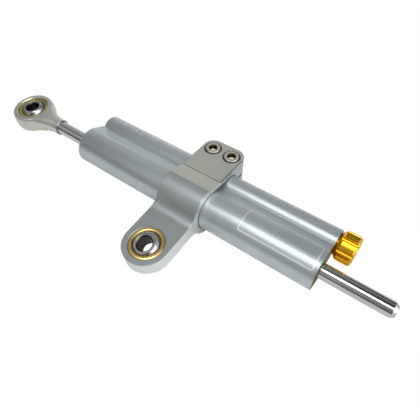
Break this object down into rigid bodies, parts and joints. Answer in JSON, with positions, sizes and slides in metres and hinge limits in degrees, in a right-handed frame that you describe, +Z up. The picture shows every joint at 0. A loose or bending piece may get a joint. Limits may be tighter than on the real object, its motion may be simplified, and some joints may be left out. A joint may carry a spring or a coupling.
{
  "type": "motorcycle steering damper",
  "caption": "Through-rod steering damper: twin-bore body, split clamp with a spherical bearing on its arm, rod eye with a spherical bearing, and a grooved adjuster knob.",
  "frame": {"origin": "middle of the clamp's spherical bearing", "axes": "+X along the body towards the adjuster knob, +Y from the clamp's bearing towards the tubes, +Z up along the bolt axis of the rod eye's bearing"},
  "size_m": [0.2581, 0.0866, 0.0296],
  "materials": {
    "body_anodised": "satin silver anodised, fine lengthwise grain",
    "clamp_anodised": "bead-blasted silver grey",
    "rod_chrome": "hard chrome, ground",
    "eye_nickel": "satin, faint yellow-green passivated tint",
    "collar_steel": "polished",
    "race_brass": "satin, yellow passivated",
    "ball_chrome": "polished",
    "liner_fabric": "matt dark slide liner",
    "guide_aluminium": "machined",
    "bush_bronze": "machined",
    "seal_rubber": "matt",
    "clip_steel": "dark spring steel",
    "washer_steel": "plain",
    "piston_aluminium": "machined",
    "band_polymer": "matt slide band",
    "sleeve_aluminium": "dark anodised",
    "needle_steel": "ground",
    "seat_brass": "machined",
    "knob_gold": "bright gold anodised",
    "screw_stainless": "stainless"
  },
  "bodies": {
    "housing": {"body_housing": "body_anodised", "rod_guide_eye_end": "guide_aluminium", "rod_guide_knob_end": "guide_aluminium", "rod_bush_eye_end": "bush_bronze", "rod_bush_knob_end": "bush_bronze", "rod_seal_eye_end": "seal_rubber", "rod_seal_knob_end": "seal_rubber", "seal_washer_eye_end": "washer_steel", "seal_washer_knob_end": "washer_steel", "rod_wiper_eye_end": "seal_rubber", "rod_wiper_knob_end": "seal_rubber", "guide_o_ring_eye_end": "seal_rubber", "guide_o_ring_knob_end": "seal_rubber", "guide_circlip_eye_end": "clip_steel", "guide_circlip_knob_end": "clip_steel", "adjuster_sleeve": "sleeve_aluminium", "adjuster_sleeve_o_ring": "seal_rubber", "needle_seat": "seat_brass", "seat_o_ring": "seal_rubber", "detent_ball": "ball_chrome", "detent_spring": "clip_steel", "reservoir_plug": "piston_aluminium", "plug_o_ring": "seal_rubber", "plug_circlip": "clip_steel", "fill_screw": "screw_stainless"},
    "piston_group": {"piston": "piston_aluminium", "piston_band": "band_polymer", "shim_stack_eye_side": "washer_steel", "shim_stack_knob_side": "washer_steel", "piston_washer_eye_side": "washer_steel", "piston_washer_knob_side": "washer_steel"},
    "rod": {"piston_rod": "rod_chrome", "piston_circlips": "clip_steel", "rod_eye": "eye_nickel", "eye_collar": "collar_steel", "eye_bearing_race": "race_brass"},
    "eye_liner": {"eye_bearing_liner": "liner_fabric"},
    "eye_ball": {"eye_bearing_ball": "ball_chrome"},
    "clamp": {"clamp_bracket": "clamp_anodised", "clamp_screws": "screw_stainless", "clamp_bearing_race": "race_brass"},
    "clamp_liner": {"clamp_bearing_liner": "liner_fabric"},
    "clamp_ball": {"clamp_bearing_ball": "ball_chrome"},
    "knob": {"adjuster_knob": "knob_gold", "adjuster_spindle": "needle_steel", "spindle_o_ring": "seal_rubber", "knob_screw": "screw_stainless"},
    "needle": {"adjuster_needle": "needle_steel"},
    "floating_piston": {"floating_piston": "piston_aluminium", "floating_piston_o_ring": "seal_rubber"}
  },
  "joints": [
    {"name": "clamp_slide", "type": "slide", "parent": "housing", "child": "clamp", "axis": [1, 0, 0], "range_m": [-0.06, 0.06]},
    {"name": "rod_slide", "type": "slide", "parent": "housing", "child": "piston_group", "axis": [1, 0, 0], "range_m": [-0.0344, 0.025]},
    {"name": "rod_spin", "type": "hinge", "parent": "piston_group", "child": "rod", "pos_m": [0, 0.0365, 0], "axis": [1, 0, 0], "continuous": true},
    {"name": "eye_swivel", "type": "hinge", "parent": "rod", "child": "eye_liner", "pos_m": [-0.1314, 0.0365, 0], "axis": [0, 0, 1], "continuous": true},
    {"name": "eye_tilt", "type": "hinge", "parent": "eye_liner", "child": "eye_ball", "pos_m": [-0.1314, 0.0365, 0], "axis": [0, 1, 0], "range_deg": [-12, 12]},
    {"name": "clamp_swivel", "type": "hinge", "parent": "clamp", "child": "clamp_liner", "pos_m": [0, 0, 0], "axis": [0, 0, 1], "continuous": true},
    {"name": "clamp_tilt", "type": "hinge", "parent": "clamp_liner", "child": "clamp_ball", "pos_m": [0, 0, 0], "axis": [1, 0, 0], "range_deg": [-23, 1]},
    {"name": "knob_turn", "type": "hinge", "parent": "housing", "child": "knob", "pos_m": [0.077, 0.0543, 0], "axis": [1, 0, 0], "range_deg": [-360, 360]},
    {"name": "needle_travel", "type": "slide", "parent": "housing", "child": "needle", "axis": [1, 0, 0], "range_m": [-0.001, 0.001]},
    {"name": "floating_piston_travel", "type": "slide", "parent": "housing", "child": "floating_piston", "axis": [1, 0, 0], "range_m": [-0.004, 0.004]}
  ],
  "couplings": [
    {"joint": "needle_travel", "follows": "knob_turn", "m_per_rad": 0.00015915}
  ]
}
